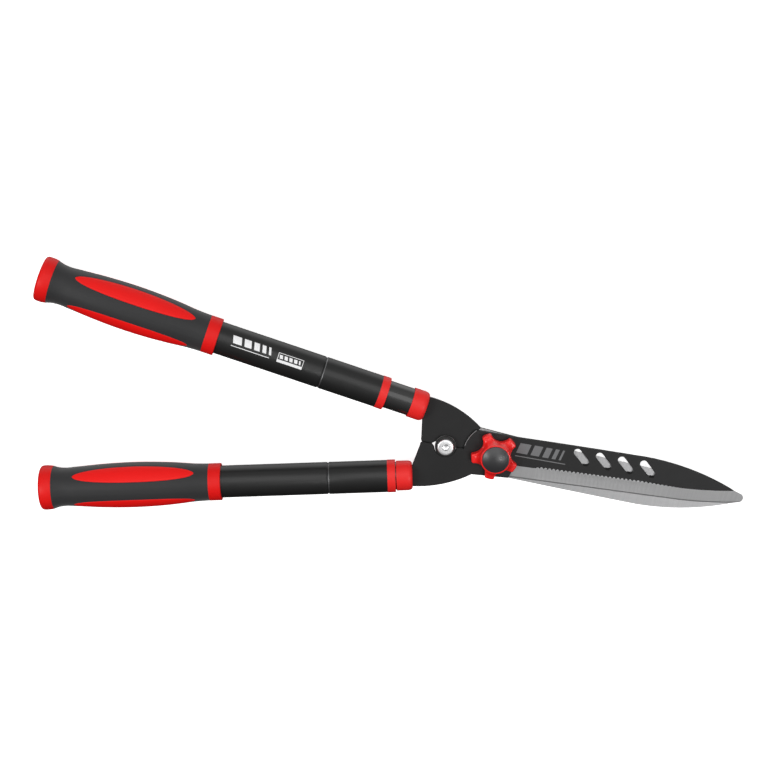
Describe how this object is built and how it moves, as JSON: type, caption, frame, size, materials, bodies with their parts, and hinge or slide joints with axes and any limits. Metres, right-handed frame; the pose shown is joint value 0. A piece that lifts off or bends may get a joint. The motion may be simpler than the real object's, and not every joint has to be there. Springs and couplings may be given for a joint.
{
  "type": "hedge shears",
  "caption": "Two-hand hedge shears with straight bevelled blades, one slotted, a lobed tension knob at the pivot and telescopic tube handles with soft grips.",
  "frame": {"origin": "on the pivot axis, at the outer face of the pivot bolt's hexagon head", "axes": "+X along the closed blades towards the tip, +Y towards the left half that carries the rear blade, +Z out of the front blade, along the pivot axis towards the knob"},
  "size_m": [0.7119, 0.2515, 0.0445],
  "materials": {
    "coated_steel": "black coating with a ground bare band along the cutting edge",
    "bare_steel": "bare ground mating face, coated tang",
    "black_tube": "satin black paint",
    "black_steel": "blackened",
    "zinc_steel": "zinc plated",
    "bronze": "plain",
    "red_plastic": "glossy moulded",
    "red_rubber": "satin moulded",
    "black_plastic": "satin moulded",
    "black_rubber": "matte moulded",
    "white_nylon": "plain"
  },
  "bodies": {
    "left_half": {"rear_blade": "bare_steel", "pivot_bolt": "zinc_steel", "pivot_bush": "bronze", "pivot_washer": "zinc_steel", "spring_washer": "zinc_steel", "stop_screw": "zinc_steel", "stop_bumper": "black_rubber", "stop_washer": "black_steel", "stop_nut": "zinc_steel", "left_ferrule": "red_plastic", "left_tang_plug": "black_plastic", "left_tang_pins": "zinc_steel", "left_inner_tube": "black_tube", "left_lock_spindle": "zinc_steel", "left_lock_screw": "zinc_steel"},
    "right_half": {"front_blade": "coated_steel", "right_ferrule": "red_plastic", "right_tang_plug": "black_plastic", "right_tang_pins": "zinc_steel", "right_inner_tube": "black_tube", "right_lock_spindle": "zinc_steel", "right_lock_screw": "zinc_steel"},
    "knob": {"tension_knob": "red_plastic", "knob_nut": "zinc_steel", "knob_cap": "black_plastic"},
    "left_lock": {"left_lock_expander": "white_nylon"},
    "right_lock": {"right_lock_expander": "white_nylon"},
    "left_handle": {"left_outer_tube": "black_tube", "left_collar": "red_plastic", "left_guide_bush": "black_plastic", "left_grip_ring": "red_plastic", "left_grip_sleeve": "black_rubber", "left_grip_inlays": "red_rubber", "left_end_cap": "red_plastic"},
    "right_handle": {"right_outer_tube": "black_tube", "right_collar": "red_plastic", "right_guide_bush": "black_plastic", "right_grip_ring": "red_plastic", "right_grip_sleeve": "black_rubber", "right_grip_inlays": "red_rubber", "right_end_cap": "red_plastic"}
  },
  "joints": [
    {"name": "blade_pivot", "type": "hinge", "parent": "left_half", "child": "right_half", "pos_m": [0, 0, 0.00835], "axis": [0, 0, 1], "range_deg": [0, 70]},
    {"name": "knob_turn", "type": "hinge", "parent": "left_half", "child": "knob", "pos_m": [0, 0, 0.0182], "axis": [0, 0, 1], "continuous": true},
    {"name": "left_lock_twist", "type": "hinge", "parent": "left_half", "child": "left_lock", "pos_m": [-0.3319, 0.075, 0.00835], "axis": [-0.9881, 0.1538, 0], "range_deg": [0, 120]},
    {"name": "left_telescope", "type": "slide", "parent": "left_lock", "child": "left_handle", "axis": [-0.9881, 0.1538, 0], "range_m": [-0.024, 0.139]},
    {"name": "right_lock_twist", "type": "hinge", "parent": "right_half", "child": "right_lock", "pos_m": [-0.32888, -0.0921, 0.00835], "axis": [-0.9764, -0.2158, 0], "range_deg": [0, 120]},
    {"name": "right_telescope", "type": "slide", "parent": "right_lock", "child": "right_handle", "axis": [-0.9764, -0.2158, 0], "range_m": [0, 0.163]}
  ]
}
